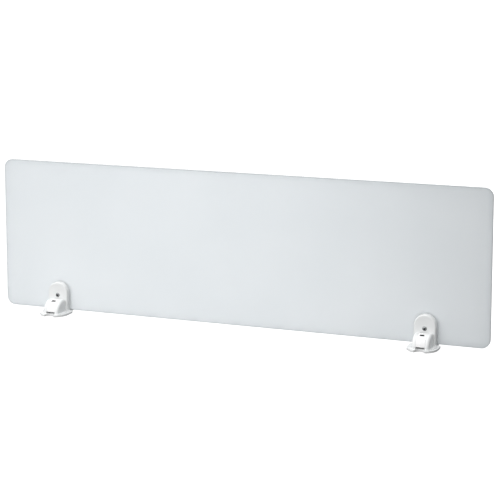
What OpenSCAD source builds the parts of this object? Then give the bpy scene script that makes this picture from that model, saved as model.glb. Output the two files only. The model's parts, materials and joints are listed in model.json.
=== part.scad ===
// Desk privacy panel: a frosted sheet held upright by two lever-operated suction feet.
// Millimetres. X runs along the sheet, -Y faces the user, +Z is up and the desk top is z = 0.
// Every foot is drawn about its own centre line, with y = 0 on the sheet's front face and
// its distances in front of that face counted as "forward".

/* [Panel] */
// Length of the sheet
panel_l = 1200; // [800:10:1600]
// Height of the sheet
panel_h = 360; // [300:5:450]
// Thickness of the sheet
panel_t = 5; // [4:0.5:6]
// Radius of the sheet's corners
panel_corner_r = 20; // [8:1:40]
// Gap between the desk and the sheet's lower edge
panel_lift = 6; // [5.8:0.1:6.5]
// Distance from the middle of the sheet to each foot
foot_x = 455; // [250:5:520]

/* [Foot] */
// Half the width of the foot's flange, and the radius of its round front
flange_half_w = 35.5; // [35:0.5:38]
// Height of the flange's top face
flange_top = 4.4; // [4:0.1:5]
// Radius of the finger notch under the lever's lip
notch_r = 12.5; // [11:0.5:13]

/* [Clamp] */
// Half the width of the arched clamping faces
arch_half_w = 25.4; // [24:0.2:27]
// Height of the top of the arch above the desk
arch_top = 73.9; // [70:0.1:80]
// Forward reach of the arch's front face
arch_front = 15; // [15:0.1:16]
// Rounding of the arches' outer edges
arch_edge_r = 3; // [1:0.5:3]
// Thickness of the rear clamp
rear_t = 14; // [14:0.5:18]
// Height of the clamp bolt above the desk
bolt_z = 43; // [42.5:0.5:45]

/* [Lever] */
// Radius of the rounded hood that the lever and cheeks form
hood_r = 29; // [28.5:0.1:29.2]
// Half the width of the hood
hood_half_w = 20; // [19:0.5:22]
// Half the width of the lever
lever_half_w = 10.4; // [10.2:0.1:10.6]
// Opening angle of the lever in degrees
lever_swing = 70; // [60:5:70]
// Lift that the cam gives the suction cup
cup_lift = 3; // [2:0.1:3]
// Radius of the suction cup
cup_r = 20; // [18:0.5:20]

/* [Hidden] */
$fn = 96;
ABS = "whitesmoke";
RUBBER = "dimgray";
STEEL = "silver";

pad_t = 1;                    // foam pads on both faces of the sheet
wall = 2.8;                   // moulded walls
eps = 0.5;                    // overshoot of a cut past the face that it opens
arch_c = arch_top - arch_half_w;              // height of the arch's centre
pivot_d = 30;                 // suction cup's axis, with the lever pin at rest on it
pivot_z = 18;
notch_d = pivot_d + flange_half_w;            // the notch is centred on the flange's front edge
// The notch cuts the round front at two horns, which are the foot's furthest points
front_reach = notch_d - pow(notch_r, 2) / (2 * flange_half_w);
depth = front_reach + panel_t + pad_t + rear_t;
panel_y = front_reach - depth / 2;            // centres the whole object on y = 0

base_z = 0.6;                 // underside of both mouldings, above the desk
grip_top = 1.8;               // top of the rubber grips let into the underside
plateau_inset = 6;
plateau_top = 6;
flange_rear_r = 9;
ledge_half_w = 24;            // ledge that carries the sheet's lower edge
ledge_top = 4.8;

hood_d = 25.5;                // forward place and height of the hood's centre line
hood_z = 6;
shoulder_r = 6;               // rounding of the cheeks' outer shoulders
cheek_in = lever_half_w + 0.35;
pin_r = 1.5;
pin_run_r = 1.55;             // running hole for the pin in the lever
boss_top = 8.5;
boss_front = 41.5;
plate_t = 1;
plate_back = 19;
plate_front = 41;
stem_r = 4;
bore_r = 4.08;                // running bore for the stem

lever_t = 3;                  // thickness of the lever's hood
lip_angle = 8.2;              // angles on the hood, from straight ahead and up
heel_angle = 104;
slot_angle = 68;
slot_half_w = 5;
slot_l = 5.7;
heel_sweep_r = norm(hood_point(hood_r, heel_angle)) + 0.35;  // room for the swinging heel
web_in = 6.3;                 // inner faces of the lever's two cams
cam_run = 0.05;               // clearance under the closed cam
cam_flat = 7;                 // flat that the closed cam stands on
cam_h = pivot_z - boss_top - plate_t - cam_run;
cam_k = cup_lift / (lever_swing * PI / 180);  // lift for each radian of swing

recess_r = cup_r + 1.2;
recess_top = 3.6;
well_r = 8.8;                 // deeper middle of the recess, for the cup's hub
well_top = 6.5;
cup_flange_r = 6;             // stem's foot, moulded into the cup
cup_flange_z = 4;
cup_flange_t = 1.5;
cup_hub_r = 8;
cup_hub_top = 6.3;
cup_hollow_z = 2.9;           // underside of the cup's middle, in its gripping shape
cup_rim_z = 0.1;
cup_rim_w = 0.5;              // flat sealing face of the rim
cup_rim_t = 0.7;
cup_t = 0.7;                  // thickness of the cup's cone
stem_room = 0.4;              // clearance round the stem in the wear plate

grip_in_r = 23.5;             // crescent grips around the cup
grip_out_r = 29;
grip_gap = 13;                // half the gap between the two crescents
rear_grip_inset = 3;

shank_r = 3;                  // M6 clamp bolt
clear_r = 3.3;
head_r = 5.25;
head_h = 3.3;
socket_af = 4;
socket_depth = 2;
bolt_boss_r = 6.5;
hole_r = 4.5;                 // hole in the sheet, and the bush that fills it
nut_af = 10;
nut_t = 5;
washer_r = 5.6;
washer_t = 1.2;
pocket_r = 5.9;               // round pocket for the nut and washer
pocket_boss_r = 9;
cap_r = 7.2;
cap_room = 0.1;               // clearance round the nut cap
cap_t = 1.2;
nut_floor = 5;                // solid left in front of the nut pocket
rear_face = -(panel_t + pad_t);               // forward place of the rear clamp's front face
rear_back = rear_face - rear_t;
washer_front = rear_face - nut_floor;
nut_front = washer_front - washer_t;
nut_back = nut_front - nut_t;

// ---- helpers -------------------------------------------------------------------------

// Puts a foot's part at the left (-1) or right (+1) foot.
module at(side) translate([side * foot_x, panel_y, 0]) children();

// Slab across the foot, from an outline drawn as (forward, up), centred on the foot.
module across(w) rotate([90, 0, -90]) linear_extrude(w, center = true) children();

// Slab between two forward distances, from an outline drawn as (across, up).
module upright(from, to) translate([0, -from, 0]) rotate([90, 0, 0]) linear_extrude(to - from) children();

// Round bar along the forward direction, at the height of the clamp bolt.
module bolt_bar(r, from, to) upright(from, to) translate([0, bolt_z]) circle(r);

// Solid of revolution about a line across the foot, from an outline drawn as (radius, across).
module about_line(d, z) translate([0, -d, z]) rotate([0, 90, 0]) rotate_extrude() children();

// Upright cylinder on the suction cup's axis.
module cup_bar(r, from, to) translate([0, -pivot_d, from]) cylinder(r = r, h = to - from);

// Regular hexagon by its distance across flats.
module hexagon(af) circle(r = af / sqrt(3), $fn = 6);

// Arched outline, as (across, up), shrunk by an inset, with its lower edge at z.
module arch(inset, z) {
    translate([0, arch_c]) circle(arch_half_w - inset);
    translate([-arch_half_w + inset, z]) square([2 * (arch_half_w - inset), arch_c - z]);
}

// Half section through an arch, as (across, forward), with its outer front edge rounded.
module arch_section(from, to) {
    translate([0, from]) square([arch_half_w, to - arch_edge_r - from]);
    translate([0, from]) square([arch_half_w - arch_edge_r, to - from]);
    translate([arch_half_w - arch_edge_r, to - arch_edge_r]) circle(arch_edge_r);
}

// Solid arch between two forward distances: a round top on a straight block.
module arch_block(from, to) {
    translate([0, 0, arch_c]) rotate([90, 0, 0]) rotate_extrude() intersection() {
        arch_section(from, to);
        translate([0, from]) square([arch_half_w, to - from]);
    }
    translate([0, 0, base_z]) linear_extrude(arch_c - base_z)
        for (x = [0, 1]) mirror([x, 0]) mirror([0, 1]) arch_section(from, to);
}

// Rectangle with round corners, its lower edge on the X axis.
module round_rect(w, h, r) {
    translate([-w / 2 + r, 0]) square([w - 2 * r, h]);
    translate([-w / 2, r]) square([w, h - 2 * r]);
    for (x = [-1, 1], z = [r, h - r]) translate([x * (w / 2 - r), z]) circle(r);
}

// ---- sheet ---------------------------------------------------------------------------

module panel() {
    color("lightsteelblue")
        translate([0, panel_y + panel_t, 0]) rotate([90, 0, 0]) linear_extrude(panel_t)
            difference() {
                translate([0, panel_lift]) round_rect(panel_l, panel_h, panel_corner_r);
                for (side = [-1, 1]) translate([side * foot_x, bolt_z]) circle(hole_r);
            }
}

// ---- foot moulding -------------------------------------------------------------------

// Plan outline of the flange, shrunk by an inset: half a circle about the suction cup,
// with straight sides running back from it to two round corners.
module flange_outline(inset) {
    half_w = flange_half_w - inset;
    corner_x = half_w - flange_rear_r;
    back = pad_t + inset;
    translate([0, -pivot_d]) circle(half_w, $fn = 160);
    translate([-half_w, -pivot_d]) square([2 * half_w, pivot_d - back - flange_rear_r]);
    translate([-corner_x, -pivot_d]) square([2 * corner_x, pivot_d - back]);
    for (x = [-1, 1]) translate([x * corner_x, -back - flange_rear_r]) circle(flange_rear_r);
}

// One cheek of the hood as (radius, across): a thick disc with a rounded outer shoulder.
module cheek_outline() {
    intersection() {
        union() {
            square([hood_r - shoulder_r, hood_half_w]);
            square([hood_r, hood_half_w - shoulder_r]);
            translate([hood_r - shoulder_r, hood_half_w - shoulder_r]) circle(shoulder_r);
        }
        translate([0, cheek_in]) square([hood_r, hood_half_w - cheek_in]);
    }
}

module cheeks() {
    intersection() {
        about_line(hood_d, hood_z) {
            cheek_outline();
            mirror([0, 1]) cheek_outline();
        }
        translate([-hood_half_w, -hood_d - hood_r, base_z + wall])
            cube([2 * hood_half_w, hood_d + hood_r - arch_front + eps, hood_r + hood_z]);
    }
}

// Hollow of the arched block, open at the back, with a boss and ribs round the bolt.
module arch_hollow() {
    rib = 2;
    step_z = hood_z + hood_r - 1.5;
    shallow = pivot_d - heel_sweep_r - wall;
    difference() {
        union() {
            upright(pad_t - eps, arch_front - wall) arch(wall, step_z);
            upright(pad_t - eps, shallow) arch(wall, boss_top);
        }
        bolt_bar(bolt_boss_r, 0, arch_front);
        upright(0, arch_front) translate([-rib / 2, 0]) square([rib, arch_top]);
        upright(0, arch_front) translate([-arch_half_w, bolt_z - rib / 2]) square([2 * arch_half_w, rib]);
    }
}

// Room behind the lever for its heel, which swings back and drops with the cup.
module heel_pocket() {
    half_w = (lever_half_w + cheek_in) / 2 + 0.1;
    intersection() {
        across(2 * half_w) for (drop = [0, cup_lift])
            translate([pivot_d, pivot_z - drop]) circle(heel_sweep_r);
        translate([-half_w, -arch_front - eps, boss_top]) cube([2 * half_w, arch_front, arch_top]);
    }
}

// Two crescents beside the cup, as a plan outline.
module grip_crescents() {
    for (x = [0, 1]) mirror([x, 0]) intersection() {
        translate([0, -pivot_d]) difference() {
            circle(grip_out_r);
            circle(grip_in_r);
        }
        translate([grip_gap, -pivot_d - grip_out_r]) square([grip_out_r, 2 * grip_out_r]);
    }
}

module foot() {
    color(ABS) difference() {
        union() {
            translate([0, 0, base_z]) linear_extrude(flange_top - base_z) flange_outline(0);
            translate([0, 0, base_z]) linear_extrude(plateau_top - base_z) flange_outline(plateau_inset);
            translate([-ledge_half_w, -pad_t - eps, base_z])
                cube([2 * ledge_half_w, panel_t + pad_t + eps, ledge_top - base_z]);
            arch_block(pad_t, arch_front);
            cheeks();
            translate([-cheek_in - eps, -boss_front, base_z])
                cube([2 * (cheek_in + eps), boss_front - arch_front + eps, boss_top - base_z]);
        }
        translate([0, -notch_d, 0]) cylinder(r = notch_r, h = boss_top);
        cup_bar(recess_r, 0, recess_top);
        cup_bar(well_r, 0, well_top);
        cup_bar(bore_r, 0, boss_top + eps);
        linear_extrude(grip_top) grip_crescents();
        arch_hollow();
        heel_pocket();
        bolt_bar(clear_r, 0, arch_front + eps);
    }
}

module wear_plate() {
    color(STEEL) difference() {
        translate([-lever_half_w, -plate_front, boss_top])
            cube([2 * lever_half_w, plate_front - plate_back, plate_t]);
        cup_bar(stem_r + stem_room, boss_top - eps, boss_top + plate_t + eps);
    }
}

module grip_pads() {
    color(RUBBER) linear_extrude(grip_top) grip_crescents();
}

// ---- lever and cup -------------------------------------------------------------------

// Point of the cam at one swing angle, seen from the pin: its support falls evenly with
// the angle, so the pin drops evenly as the lever opens.
function cam_point(a) =
    let (h = cam_h - cam_k * a * PI / 180)
    [-h * sin(a) + cam_k * cos(a), -h * cos(a) - cam_k * sin(a)];

// Point on the hood at a radius and an angle, seen from the pin.
function hood_point(r, a) = [hood_d - pivot_d + r * cos(a), hood_z - pivot_z + r * sin(a)];

// Side outline of a cam web, from the cam's track to the middle of the hood's thickness.
module cam_outline() {
    mid_r = hood_r - lever_t / 2;
    polygon(concat(
        [cam_point(0) + [cam_flat, 0]],
        [for (a = [0 : lever_swing / 16 : lever_swing]) cam_point(a)],
        [for (a = [heel_angle - 1 : -8 : 19]) hood_point(mid_r, a)]
    ));
}

// Side outline of the lever's hood: a ring sector from its lip to its heel.
module hood_outline() {
    far = 2 * hood_r;
    intersection() {
        difference() {
            circle(hood_r, $fn = 160);
            circle(hood_r - lever_t, $fn = 160);
        }
        polygon([
            [0, 0], far * [cos(lip_angle), sin(lip_angle)], [far, far],
            [0, far], far * [cos(heel_angle), sin(heel_angle)]
        ]);
    }
}

module lever() {
    color(ABS) difference() {
        union() {
            across(2 * lever_half_w) translate([hood_d, hood_z]) hood_outline();
            for (side = [-1, 1]) translate([side * (lever_half_w + web_in) / 2, 0, 0])
                across(lever_half_w - web_in) translate([pivot_d, pivot_z]) cam_outline();
        }
        across(2 * slot_half_w) translate([hood_d, hood_z]) rotate(slot_angle)
            translate([hood_r - 2 * lever_t, -slot_l / 2]) square([3 * lever_t, slot_l]);
        across(3 * lever_half_w) translate([pivot_d, pivot_z]) circle(pin_run_r);
    }
}

module lever_pin() {
    color(STEEL) across(2 * lever_half_w) translate([pivot_d, pivot_z]) circle(pin_r);
}

module cup_stem() {
    crown = 1;
    color("gainsboro") difference() {
        union() {
            cup_bar(cup_flange_r, cup_flange_z, cup_flange_z + cup_flange_t);
            cup_bar(stem_r, cup_flange_z, pivot_z + stem_r);
            translate([0, -pivot_d, pivot_z + stem_r])
                cylinder(r1 = stem_r, r2 = stem_r - crown, h = crown);
        }
        across(4 * stem_r) translate([pivot_d, pivot_z]) circle(pin_r);
    }
}

// Cup in its gripping shape: rim on the desk, middle drawn up into the recess.
module suction_cup() {
    shoulder_z = cup_hollow_z + cup_t;
    color(RUBBER) difference() {
        translate([0, -pivot_d, 0]) rotate_extrude() polygon([
            [0, cup_hollow_z], [cup_hub_r - cup_t, cup_hollow_z],
            [cup_r - cup_rim_w, cup_rim_z], [cup_r, cup_rim_z], [cup_r, cup_rim_z + cup_rim_t],
            [cup_hub_r + cup_t, shoulder_z - cup_t / 4], [cup_hub_r, shoulder_z],
            [cup_hub_r, cup_hub_top], [0, cup_hub_top]
        ]);
        cup_bar(cup_flange_r, cup_flange_z, cup_flange_z + cup_flange_t);
        cup_bar(stem_r, cup_flange_z, cup_hub_top + eps);
    }
}

// ---- clamp ---------------------------------------------------------------------------

// Foam pad with a hole for the bolt, between two forward distances.
module foam_pad(from) {
    color("darkgray") difference() {
        upright(from, from + pad_t) arch(1, panel_lift + 0.3);
        bolt_bar(clear_r, from - eps, from + pad_t + eps);
    }
}

module front_pad() { foam_pad(0); }

module rear_pad() { foam_pad(-panel_t - pad_t); }

module panel_bush() {
    color("gainsboro") difference() {
        bolt_bar(hole_r, -panel_t, 0);
        bolt_bar(clear_r, -panel_t - eps, eps);
    }
}

// Rubber strip on the foot's ledge, under the sheet's lower edge.
module edge_strip() {
    color(RUBBER) translate([-ledge_half_w, 0, ledge_top])
        cube([2 * ledge_half_w, panel_t, panel_lift - ledge_top]);
}

module rear_grip_outline() {
    w = 2 * (arch_half_w - rear_grip_inset);
    translate([-w / 2, -rear_face + rear_grip_inset]) square([w, rear_t - 2 * rear_grip_inset]);
}

module rear_clamp() {
    rib = 2;
    color(ABS) difference() {
        mirror([0, 1, 0]) arch_block(-rear_face, -rear_back);
        difference() {
            upright(rear_back + wall, rear_face + eps) arch(wall, grip_top + wall);
            bolt_bar(pocket_boss_r, rear_back, rear_face);
            upright(rear_back, rear_face) translate([-rib / 2, 0]) square([rib, arch_top]);
            upright(rear_back, rear_face)
                translate([-arch_half_w, bolt_z - rib / 2]) square([2 * arch_half_w, rib]);
        }
        bolt_bar(clear_r, rear_back - eps, rear_face + eps);
        bolt_bar(pocket_r, rear_back - eps, washer_front);
        bolt_bar(cap_r + cap_room, rear_back - eps, rear_back + cap_t);
        linear_extrude(grip_top) rear_grip_outline();
    }
}

module rear_grip() {
    color(RUBBER) linear_extrude(grip_top) rear_grip_outline();
}

module clamp_bolt() {
    dome_r = (pow(head_r, 2) + pow(head_h, 2)) / (2 * head_h);
    color(STEEL) difference() {
        union() {
            bolt_bar(shank_r, nut_back, arch_front + 1);
            intersection() {
                bolt_bar(head_r, arch_front, arch_front + head_h);
                translate([0, -arch_front - head_h + dome_r, bolt_z]) sphere(dome_r);
            }
        }
        upright(arch_front + head_h - socket_depth, arch_front + head_h + eps)
            translate([0, bolt_z]) hexagon(socket_af);
    }
}

module nut_washer() {
    color(STEEL) difference() {
        bolt_bar(washer_r, nut_front, washer_front);
        bolt_bar(clear_r, nut_front - eps, washer_front + eps);
    }
}

module clamp_nut() {
    color(STEEL) difference() {
        upright(nut_back, nut_front) translate([0, bolt_z]) hexagon(nut_af);
        bolt_bar(shank_r, nut_back - eps, nut_front + eps);
    }
}

// Cover for the nut pocket: a disc flush with the rear clamp, on a short plug.
module nut_cap() {
    color(ABS) {
        bolt_bar(cap_r, rear_back, rear_back + cap_t);
        bolt_bar(washer_r, rear_back, nut_back - 2 * cap_room);
    }
}

panel();
at(-1) foot();  // left_foot
at(-1) front_pad();  // left_front_pad
at(-1) rear_pad();  // left_rear_pad
at(-1) rear_clamp();  // left_rear_clamp
at(-1) clamp_bolt();  // left_clamp_bolt
at(-1) nut_washer();  // left_nut_washer
at(-1) clamp_nut();  // left_clamp_nut
at(-1) nut_cap();  // left_nut_cap
at(-1) panel_bush();  // left_panel_bush
at(-1) edge_strip();  // left_edge_strip
at(-1) lever();  // left_lever
at(-1) lever_pin();  // left_lever_pin
at(-1) cup_stem();  // left_cup_stem
at(-1) suction_cup();  // left_suction_cup
at(-1) wear_plate();  // left_wear_plate
at(-1) grip_pads();  // left_grip_pads
at(-1) rear_grip();  // left_rear_grip
at(1) foot();  // right_foot
at(1) front_pad();  // right_front_pad
at(1) rear_pad();  // right_rear_pad
at(1) rear_clamp();  // right_rear_clamp
at(1) clamp_bolt();  // right_clamp_bolt
at(1) nut_washer();  // right_nut_washer
at(1) clamp_nut();  // right_clamp_nut
at(1) nut_cap();  // right_nut_cap
at(1) panel_bush();  // right_panel_bush
at(1) edge_strip();  // right_edge_strip
at(1) lever();  // right_lever
at(1) lever_pin();  // right_lever_pin
at(1) cup_stem();  // right_cup_stem
at(1) suction_cup();  // right_suction_cup
at(1) wear_plate();  // right_wear_plate
at(1) grip_pads();  // right_grip_pads
at(1) rear_grip();  // right_rear_grip
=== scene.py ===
"""Looks for the desk privacy panel: a frosted sheet on two lever-operated suction feet."""
import json
import math

import bmesh
import bpy
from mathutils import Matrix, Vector

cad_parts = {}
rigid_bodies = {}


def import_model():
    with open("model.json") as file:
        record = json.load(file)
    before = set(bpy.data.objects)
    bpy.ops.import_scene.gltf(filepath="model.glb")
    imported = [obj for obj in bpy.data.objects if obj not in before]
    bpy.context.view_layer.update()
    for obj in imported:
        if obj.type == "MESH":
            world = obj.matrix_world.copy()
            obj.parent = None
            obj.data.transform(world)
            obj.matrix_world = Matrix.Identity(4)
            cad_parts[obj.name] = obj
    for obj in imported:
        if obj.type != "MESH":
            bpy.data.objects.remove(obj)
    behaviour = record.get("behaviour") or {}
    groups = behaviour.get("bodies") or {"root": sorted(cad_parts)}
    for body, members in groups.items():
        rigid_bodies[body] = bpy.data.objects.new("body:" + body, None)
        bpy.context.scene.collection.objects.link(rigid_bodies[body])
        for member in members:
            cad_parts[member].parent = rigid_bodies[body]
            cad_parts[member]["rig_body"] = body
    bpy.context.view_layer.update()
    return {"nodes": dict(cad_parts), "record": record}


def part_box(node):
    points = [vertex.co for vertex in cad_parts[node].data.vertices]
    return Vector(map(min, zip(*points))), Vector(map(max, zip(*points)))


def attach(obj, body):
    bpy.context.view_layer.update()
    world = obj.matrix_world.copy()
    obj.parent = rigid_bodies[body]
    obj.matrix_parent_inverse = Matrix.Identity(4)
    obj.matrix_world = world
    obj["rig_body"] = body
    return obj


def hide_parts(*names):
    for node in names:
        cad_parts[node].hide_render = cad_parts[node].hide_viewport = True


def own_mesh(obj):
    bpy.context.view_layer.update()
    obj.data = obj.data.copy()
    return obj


MM = 0.001

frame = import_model()
scene = bpy.context.scene


# ---- camera --------------------------------------------------------------------------

SENSOR = 36.0                       # millimetres, and so is the lens
LENS = 115.2
EYE = Vector((1.296, -3.371, 0.959))
AIM_AZIMUTH, AIM_ELEVATION = math.radians(20.38), math.radians(8.46)
SHIFT_DOWN = -0.2                   # keeps the uprights nearly parallel, as a view camera does


def make_camera():
    """Camera at the viewing angle, with its shift."""
    data = bpy.data.cameras.new("camera")
    data.sensor_width, data.lens, data.shift_y = SENSOR, LENS, SHIFT_DOWN
    camera = bpy.data.objects.new("camera", data)
    scene.collection.objects.link(camera)
    back = Vector((
        math.sin(AIM_AZIMUTH) * math.cos(AIM_ELEVATION),
        -math.cos(AIM_AZIMUTH) * math.cos(AIM_ELEVATION),
        math.sin(AIM_ELEVATION),
    ))
    camera.location = EYE
    camera.rotation_mode = "QUATERNION"
    camera.rotation_quaternion = (-back).to_track_quat("-Z", "Y")
    scene.camera = camera


# ---- materials -----------------------------------------------------------------------

CORNER_R = 20 * MM                  # the sheet's round corners
RIM_W = 3 * MM                      # width of the sheet's painted shade along its rim
THROUGH = 0.80                      # share of the light that comes from behind the sheet
RIM_SHADE = 0.85                    # colour left at the very edge of the rim, where the painted shade is deepest


def new_material(name):
    """A material with its nodes, its links and its main shader."""
    material = bpy.data.materials.new(name)
    material.use_nodes = True
    nodes, links = material.node_tree.nodes, material.node_tree.links
    return material, nodes, links, nodes["Principled BSDF"]


def noise(nodes, links, scale, detail):
    """Noise in object space, about as many waves per metre as the scale."""
    place = nodes.new("ShaderNodeTexCoord")
    texture = nodes.new("ShaderNodeTexNoise")
    texture.inputs["Scale"].default_value = scale
    texture.inputs["Detail"].default_value = detail
    links.new(place.outputs["Object"], texture.inputs["Vector"])
    return texture


def ramp(nodes, links, source, low, high, start=0.3, end=0.7):
    """Colours from low to high as the source goes from start to end."""
    node = nodes.new("ShaderNodeValToRGB")
    node.color_ramp.elements[0].position, node.color_ramp.elements[1].position = start, end
    node.color_ramp.elements[0].color, node.color_ramp.elements[1].color = low, high
    links.new(source, node.inputs["Fac"])
    return node


def bump(nodes, links, shader, height, strength, distance):
    """Small relief on the shader, as high as the distance at full strength."""
    node = nodes.new("ShaderNodeBump")
    node.inputs["Strength"].default_value = strength
    node.inputs["Distance"].default_value = distance
    links.new(height, node.inputs["Height"])
    links.new(node.outputs["Normal"], shader.inputs["Normal"])


def grey(value, tint=(1.0, 1.0, 1.0)):
    """Grey of one value as a colour, or a tinted one."""
    return (value * tint[0], value * tint[1], value * tint[2], 1.0)


def moulded_plastic(name, value, rough, grain, tint=(1.0, 1.0, 1.0)):
    """Injection-moulded plastic: spark-eroded grain, faint flow marks and uneven gloss."""
    material, nodes, links, shader = new_material(name)
    flow = noise(nodes, links, scale=35.0, detail=2.0)
    colour = ramp(nodes, links, flow.outputs["Fac"], low=grey(value * 0.965, tint), high=grey(value, tint))
    links.new(colour.outputs["Color"], shader.inputs["Base Color"])
    gloss = ramp(nodes, links, flow.outputs["Fac"], low=grey(rough * 0.88), high=grey(rough * 1.12))
    links.new(gloss.outputs["Color"], shader.inputs["Roughness"])
    texture = noise(nodes, links, scale=1800.0, detail=2.0)
    bump(nodes, links, shader, texture.outputs["Fac"], strength=grain, distance=0.05 * MM)
    shader.inputs["IOR"].default_value = 1.5
    return material


def rubber(name, value, rough, grain):
    """Rubber with a cloudy bloom and a fine grain."""
    material, nodes, links, shader = new_material(name)
    bloom = noise(nodes, links, scale=120.0, detail=4.0)
    colour = ramp(nodes, links, bloom.outputs["Fac"], low=grey(value * 0.8), high=grey(value * 1.25))
    links.new(colour.outputs["Color"], shader.inputs["Base Color"])
    shader.inputs["Roughness"].default_value = rough
    texture = noise(nodes, links, scale=900.0, detail=3.0)
    bump(nodes, links, shader, texture.outputs["Fac"], strength=grain, distance=0.05 * MM)
    return material


def foam(name):
    """Closed-cell foam: dark cells with paler edges."""
    material, nodes, links, shader = new_material(name)
    place = nodes.new("ShaderNodeTexCoord")
    cells = nodes.new("ShaderNodeTexVoronoi")
    cells.inputs["Scale"].default_value = 2200.0
    links.new(place.outputs["Object"], cells.inputs["Vector"])
    colour = ramp(nodes, links, cells.outputs["Distance"], grey(0.06), grey(0.14), start=0.1, end=0.8)
    links.new(colour.outputs["Color"], shader.inputs["Base Color"])
    shader.inputs["Roughness"].default_value = 0.9
    bump(nodes, links, shader, cells.outputs["Distance"], strength=0.5, distance=0.1 * MM)
    return material


def plated_steel(name, value, rough, tint=(1.0, 1.0, 1.0)):
    """Plated steel with fine marks, patchy colour and uneven gloss."""
    material, nodes, links, shader = new_material(name)
    patch = noise(nodes, links, scale=300.0, detail=4.0)
    dull, bright = grey(value * 0.85, tint), grey(value * 1.1, tint)
    colour = ramp(nodes, links, patch.outputs["Fac"], dull, bright)
    links.new(colour.outputs["Color"], shader.inputs["Base Color"])
    gloss = ramp(nodes, links, patch.outputs["Fac"], low=grey(rough * 0.7), high=grey(rough * 1.3))
    links.new(gloss.outputs["Color"], shader.inputs["Roughness"])
    shader.inputs["Metallic"].default_value = 1.0
    marks = noise(nodes, links, scale=2500.0, detail=2.0)
    bump(nodes, links, shader, marks.outputs["Fac"], strength=0.2, distance=0.02 * MM)
    return material


def math_node(nodes, links, operation, *values):
    """A Math node fed with numbers or with other nodes' outputs."""
    node = nodes.new("ShaderNodeMath")
    node.operation = operation
    for socket, value in zip(node.inputs, values):
        if isinstance(value, (int, float)):
            socket.default_value = value
        else:
            links.new(value, socket)
    return node.outputs["Value"]


def distance_inside(nodes, links, low, high, radius):
    """How far a point of the sheet lies inside its outline, a rectangle with round corners."""
    place = nodes.new("ShaderNodeTexCoord")
    parts = nodes.new("ShaderNodeSeparateXYZ")
    links.new(place.outputs["Object"], parts.inputs["Vector"])
    past = []
    for axis in ("X", "Z"):
        i = "XYZ".index(axis)
        middle, half = (low[i] + high[i]) / 2, (high[i] - low[i]) / 2
        offset = math_node(nodes, links, "SUBTRACT", parts.outputs[axis], middle)
        from_middle = math_node(nodes, links, "ABSOLUTE", offset)
        past.append(math_node(nodes, links, "SUBTRACT", from_middle, half - radius))
    clipped = [math_node(nodes, links, "MAXIMUM", value, 0.0) for value in past]
    squares = [math_node(nodes, links, "MULTIPLY", value, value) for value in clipped]
    corner = math_node(nodes, links, "SQRT", math_node(nodes, links, "ADD", *squares))
    side = math_node(nodes, links, "MINIMUM", math_node(nodes, links, "MAXIMUM", *past), 0.0)
    return math_node(nodes, links, "SUBTRACT", radius, math_node(nodes, links, "ADD", corner, side))


def frosted_acrylic(name):
    """Satin sheet that scatters light, most of it from behind. Its colour darkens in a thin rim along the
    edges: painted shade for the light that leaks out there."""
    material, nodes, links, shader = new_material(name)
    cloud = noise(nodes, links, scale=6.0, detail=3.0)
    low, high = (0.776, 0.796, 0.808, 1.0), (0.792, 0.810, 0.821, 1.0)
    clouded = ramp(nodes, links, cloud.outputs["Fac"], low, high)
    # painted shade: the colour darkens towards the sheet's outline
    depth = distance_inside(nodes, links, *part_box("panel"), CORNER_R)
    across_rim = math_node(nodes, links, "DIVIDE", depth, RIM_W)
    rim = ramp(nodes, links, across_rim, grey(RIM_SHADE), grey(1.0), start=0.0, end=1.0)
    product = nodes.new("ShaderNodeMix")
    product.data_type, product.blend_type = "RGBA", "MULTIPLY"
    product.inputs["Factor"].default_value = 1.0
    links.new(clouded.outputs["Color"], product.inputs["A"])
    links.new(rim.outputs["Color"], product.inputs["B"])
    colour = product.outputs["Result"]
    links.new(colour, shader.inputs["Base Color"])
    shader.inputs["Roughness"].default_value = 0.42
    shader.inputs["IOR"].default_value = 1.49
    shader.inputs["Specular IOR Level"].default_value = 0.35
    frost = noise(nodes, links, scale=1400.0, detail=2.0)
    bump(nodes, links, shader, frost.outputs["Fac"], strength=0.25, distance=0.04 * MM)
    through = nodes.new("ShaderNodeBsdfTranslucent")
    links.new(colour, through.inputs["Color"])
    mix = nodes.new("ShaderNodeMixShader")
    mix.inputs["Fac"].default_value = THROUGH
    links.new(shader.outputs["BSDF"], mix.inputs[1])
    links.new(through.outputs["BSDF"], mix.inputs[2])
    links.new(mix.outputs["Shader"], nodes["Material Output"].inputs["Surface"])
    return material


def acrylic_edge(name):
    """Sawn and polished edge of the sheet, darker and glossier than its faces."""
    material, nodes, links, shader = new_material(name)
    saw = noise(nodes, links, scale=260.0, detail=3.0)
    low, high = (0.62, 0.655, 0.675, 1.0), (0.74, 0.77, 0.785, 1.0)
    colour = ramp(nodes, links, saw.outputs["Fac"], low, high)
    links.new(colour.outputs["Color"], shader.inputs["Base Color"])
    shader.inputs["Roughness"].default_value = 0.18
    shader.inputs["IOR"].default_value = 1.49
    bump(nodes, links, shader, saw.outputs["Fac"], strength=0.15, distance=0.05 * MM)
    return material


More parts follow.
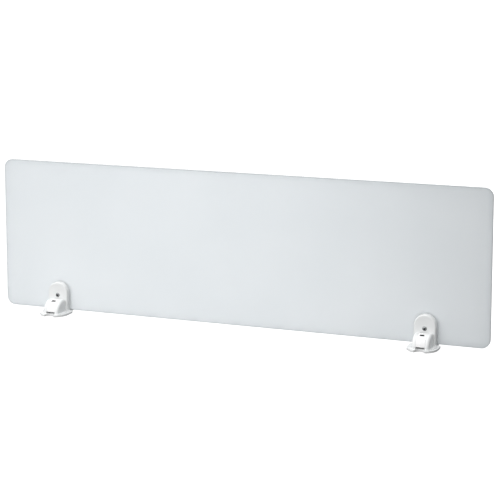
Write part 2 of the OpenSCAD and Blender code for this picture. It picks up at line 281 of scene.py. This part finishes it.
# The finish of each material slot. Three more are for the sheet's edges (acrylic_edge), the clamp bolts
# (bolt), and the painted shade in the hollows of bolts and levers (shadow).
MATERIALS = {
    "acrylic": frosted_acrylic("frosted_acrylic"),
    "acrylic_edge": acrylic_edge("acrylic_edge"),
    "white_abs": moulded_plastic("white_abs", value=0.80, rough=0.42, grain=0.30, tint=(0.985, 1.0, 1.0)),
    "lever_abs": moulded_plastic("lever_abs", value=0.86, rough=0.28, grain=0.12),
    "nylon": moulded_plastic("natural_nylon", value=0.66, rough=0.40, grain=0.15, tint=(1.0, 0.98, 0.92)),
    "steel": plated_steel("zinc_steel", value=0.55, rough=0.28),
    "bolt": plated_steel("dark_zinc_steel", value=0.30, rough=0.30, tint=(0.96, 1.0, 1.02)),
    "rubber": rubber("black_rubber", value=0.035, rough=0.75, grain=0.4),
    "cup_rubber": rubber("cup_rubber", value=0.05, rough=0.38, grain=0.1),
    # painted shade: near-black for the faces deep in hollows, where shadow falls
    "shadow": rubber("painted_shade_hollow", value=0.012, rough=0.85, grain=0.2),
    "foam": foam("closed_cell_foam"),
}
SLOT_OF = {s["node"]: s["material_slot"] for s in frame["record"]["subparts"]}


# ---- pieces --------------------------------------------------------------------------

WELD = 0.002 * MM                   # vertices closer than this are one
FLAT = math.radians(0.4)            # faces that meet at less than this are one face
SHARP = math.radians(30)            # edges sharper than this are rounded
ROUND_STEPS = 3                     # segments in a rounded edge
SHEET_ROUNDING = 0.5                # millimetres
ROUNDING = {                        # millimetres, by the node's name without its side
    "foot": 0.7, "rear_clamp": 0.9, "lever": 1.2, "front_pad": 0.15, "rear_pad": 0.15,
    "clamp_bolt": 0.25, "nut_washer": 0.15, "clamp_nut": 0.3, "nut_cap": 0.35, "panel_bush": 0.3,
    "edge_strip": 0.3, "lever_pin": 0.3, "cup_stem": 0.3, "suction_cup": 0.08, "wear_plate": 0.15,
    "grip_pads": 0.3, "rear_grip": 0.3,
}
# How far the painted shade in the bolts' sockets and the levers' slots reaches:
SOCKET_R = 2.35 * MM                # just wider than the hex socket in the clamp bolt's head
SOCKET_REACH = 2.1 * MM             # just past the socket's floor, from the head's front
SLOT_TILT = math.radians(68)        # how far up from straight ahead the lever's slot faces
SLOT_MARGIN = 1.6 * MM              # how far the slot's walls may stand outside its opening's box
WALL_LEAN = 0.3                     # most that a slot wall's normal may lean outward, as a cosine
EDGE_LEAN = 0.5                     # and most that the normal of the sheet's edge may lean forward


def clean_mesh(node, name):
    """The CAD node's mesh without doubled points and needless edges."""
    mesh = bmesh.new()
    mesh.from_mesh(frame["nodes"][node].data)
    bmesh.ops.remove_doubles(mesh, verts=mesh.verts, dist=WELD)
    bmesh.ops.dissolve_limit(
        mesh, angle_limit=FLAT, verts=mesh.verts, edges=mesh.edges, use_dissolve_boundaries=False
    )
    bmesh.ops.recalc_face_normals(mesh, faces=mesh.faces)
    for face in mesh.faces:
        face.smooth = True
    data = bpy.data.meshes.new(name)
    mesh.to_mesh(data)
    mesh.free()
    return data


def body_of(node):
    """The body that a node's piece rides on. A suction cup stays on the desk, as the real one does when it
    flattens.
    """
    if node.endswith("suction_cup"):
        return "frame"
    return frame["nodes"][node]["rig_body"]


def rounded_piece(node, radius, suffix):
    """A piece with the CAD node's shape and softly rounded edges, in its place."""
    name = f"{node}_{suffix}"
    data = clean_mesh(node, name)
    piece = bpy.data.objects.new(name, data)
    scene.collection.objects.link(piece)
    data.materials.append(MATERIALS[SLOT_OF[node]])
    bevel = piece.modifiers.new("rounding", "BEVEL")
    bevel.width, bevel.segments = radius, ROUND_STEPS
    bevel.limit_method, bevel.angle_limit = "ANGLE", SHARP
    bevel.use_clamp_overlap = True
    bevel.miter_outer = "MITER_ARC"
    normals = piece.modifiers.new("normals", "WEIGHTED_NORMAL")
    normals.keep_sharp = True
    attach(piece, body_of(node))
    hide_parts(node)
    return piece


def second_finish(piece, material, chosen):
    """Gives the faces that the test picks another material."""
    piece.data.materials.append(MATERIALS[material])
    for face in piece.data.polygons:
        if chosen(face):
            face.material_index = 1


def box_middle(node):
    """Middle of the node's box."""
    low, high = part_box(node)
    return (Vector(low) + Vector(high)) / 2


def darken_socket(bolt, node):
    """Dark zinc for the bolt, with painted shade: the faces inside its hex socket are painted near-black
    for the shadow deep in the socket.
    """
    axis = box_middle(node)
    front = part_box(node)[0][1]

    def in_socket(face):
        off = face.center - axis
        near = face.center.y < front + SOCKET_REACH
        return near and math.hypot(off.x, off.z) < SOCKET_R

    bolt.data.materials[0] = MATERIALS["bolt"]
    second_finish(bolt, "shadow", in_socket)


def darken_slot(lever, side):
    """Paints the slot's walls near-black: painted shade for the shadow in its deep hollow."""
    slots = {o["name"]: o["box_m"] for o in frame["record"]["physics"]["openings"]}
    low, high = (Vector(c) for c in slots[f"{side}_lever_slot"])
    middle = (low + high) / 2
    reach = (high - low) / 2 + Vector((SLOT_MARGIN, SLOT_MARGIN, SLOT_MARGIN))
    outward = Vector((0, -math.cos(SLOT_TILT), math.sin(SLOT_TILT)))

    def on_wall(face):
        off = face.center - middle
        inside = all(abs(off[i]) < reach[i] for i in range(3))
        along = abs(face.normal.dot(outward)) < WALL_LEAN
        return inside and along

    second_finish(lever, "shadow", on_wall)


def settle(piece):
    """Applies the piece's modifiers, so that its mesh is final."""
    graph = bpy.context.evaluated_depsgraph_get()
    piece.data = bpy.data.meshes.new_from_object(piece.evaluated_get(graph))
    piece.modifiers.clear()


def make_foot_pieces(side):
    """All the pieces of the foot on one side."""
    for node in frame["nodes"]:
        if not node.startswith(side):
            continue
        part = node.split("_", 1)[1]
        piece = rounded_piece(node, ROUNDING[part] * MM, "piece")
        if part == "clamp_bolt":
            darken_socket(piece, node)
        if part == "lever":
            darken_slot(piece, side)
        if part == "suction_cup":
            settle(piece)
            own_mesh(piece)


def make_sheet():
    """The frosted sheet, with its edges in their own finish."""
    sheet = rounded_piece("panel", SHEET_ROUNDING * MM, "sheet")
    second_finish(sheet, "acrylic_edge", lambda face: abs(face.normal.y) < EDGE_LEAN)


# ---- studio --------------------------------------------------------------------------

FLOOR_HALF = 40.0                   # metres
FLOOR_GREY = 0.10
FLOOR_GLOW = 0.96                   # what the camera sees of the open floor
CONTACT_GLOW = 0.25                 # and of the floor right under an edge, darker as a painted contact shadow
CONTACT = 6 * MM                    # reach of those painted contact shadows
BRIGHT_SIDE = (-0.55, -0.25, 1.15)  # how fast the world brightens along X, Y and Z
WORLD_MEAN = 0.40
WORLD_LEAST = 0.08


def place_light(data, place, aim):
    """Puts the light in its place and points it at its aim."""
    light = bpy.data.objects.new(data.name, data)
    light.location = place
    light.rotation_mode = "QUATERNION"
    light.rotation_quaternion = (Vector(aim) - Vector(place)).to_track_quat("-Z", "Y")
    scene.collection.objects.link(light)


def soft_disc(name, place, aim, size, power):
    """Round soft box; size in metres, power in watts."""
    data = bpy.data.lights.new(name, "AREA")
    data.shape, data.size, data.energy = "DISK", size, power
    place_light(data, place, aim)


def soft_spot(name, place, aim, size, power, cone):
    """Lamp whose light fades from the middle of its cone, in degrees, to the edge."""
    data = bpy.data.lights.new(name, "SPOT")
    data.shadow_soft_size, data.energy = size, power
    data.spot_size, data.spot_blend = math.radians(cone), 1.0
    place_light(data, place, aim)


def seen_by_camera(nodes, links, tree_output, lighting, shown):
    """Lights the object with one shader and shows the camera another one."""
    rays = nodes.new("ShaderNodeLightPath")
    mix = nodes.new("ShaderNodeMixShader")
    links.new(rays.outputs["Is Camera Ray"], mix.inputs["Fac"])
    links.new(lighting, mix.inputs[1])
    links.new(shown, mix.inputs[2])
    links.new(mix.outputs["Shader"], nodes[tree_output].inputs["Surface"])


def make_floor():
    """Floor that the camera sees as white, with painted contact shadows right under edges, and that sends
    only a little light back up.
    """
    far = FLOOR_HALF
    data = bpy.data.meshes.new("floor")
    corners = [(-far, -far, 0), (far, -far, 0), (far, far, 0), (-far, far, 0)]
    data.from_pydata(corners, [], [(0, 1, 2, 3)])
    floor = bpy.data.objects.new("floor", data)
    scene.collection.objects.link(floor)
    material, nodes, links, shader = new_material("floor")
    shader.inputs["Base Color"].default_value = grey(FLOOR_GREY)
    shader.inputs["Roughness"].default_value = 0.7
    contact = nodes.new("ShaderNodeAmbientOcclusion")
    contact.samples = 8
    contact.inputs["Distance"].default_value = CONTACT
    glow = nodes.new("ShaderNodeEmission")
    dark, open_floor = grey(CONTACT_GLOW), grey(FLOOR_GLOW)
    shade = ramp(nodes, links, contact.outputs["AO"], dark, open_floor, start=0.10, end=0.60)
    links.new(shade.outputs["Color"], glow.inputs["Color"])
    lit = nodes.new("ShaderNodeAddShader")
    links.new(shader.outputs["BSDF"], lit.inputs[0])
    links.new(glow.outputs["Emission"], lit.inputs[1])
    seen_by_camera(nodes, links, "Material Output", shader.outputs["BSDF"], lit.outputs["Shader"])
    data.materials.append(material)


def make_world():
    """Soft light, bright from the upper left and dim from the right; the camera sees white."""
    world = bpy.data.worlds.new("studio")
    world.use_nodes = True
    nodes, links = world.node_tree.nodes, world.node_tree.links
    place = nodes.new("ShaderNodeTexCoord")
    towards = nodes.new("ShaderNodeVectorMath")
    towards.operation = "DOT_PRODUCT"
    towards.inputs[1].default_value = BRIGHT_SIDE
    links.new(place.outputs["Generated"], towards.inputs[0])
    slope = math_node(nodes, links, "ADD", towards.outputs["Value"], WORLD_MEAN)
    strength = math_node(nodes, links, "MAXIMUM", slope, WORLD_LEAST)
    soft = nodes["Background"]
    soft.inputs["Color"].default_value = grey(1.0)
    links.new(strength, soft.inputs["Strength"])
    white = nodes.new("ShaderNodeBackground")
    white.inputs["Color"].default_value = grey(1.0)
    seen_by_camera(nodes, links, "World Output", soft.outputs["Background"], white.outputs["Background"])
    scene.world = world


def make_studio():
    """Floor, world and lights."""
    make_floor()
    make_world()
    soft_disc("key", place=(-0.70, -1.7, 0.55), aim=(-0.30, 0.0, 0.15), size=0.9, power=11.0)
    soft_disc("top", place=(0.10, -0.25, 2.0), aim=(0.10, 0.0, 0.0), size=0.8, power=5.5)
    soft_spot("behind", place=(0.0, 6.0, 0.40), aim=(-0.25, 0.0, 0.10), size=0.4, power=1400.0, cone=25.0)
    scene.view_settings.view_transform = "Standard"


make_camera()
make_studio()
make_sheet()
for side in ("left", "right"):
    make_foot_pieces(side)
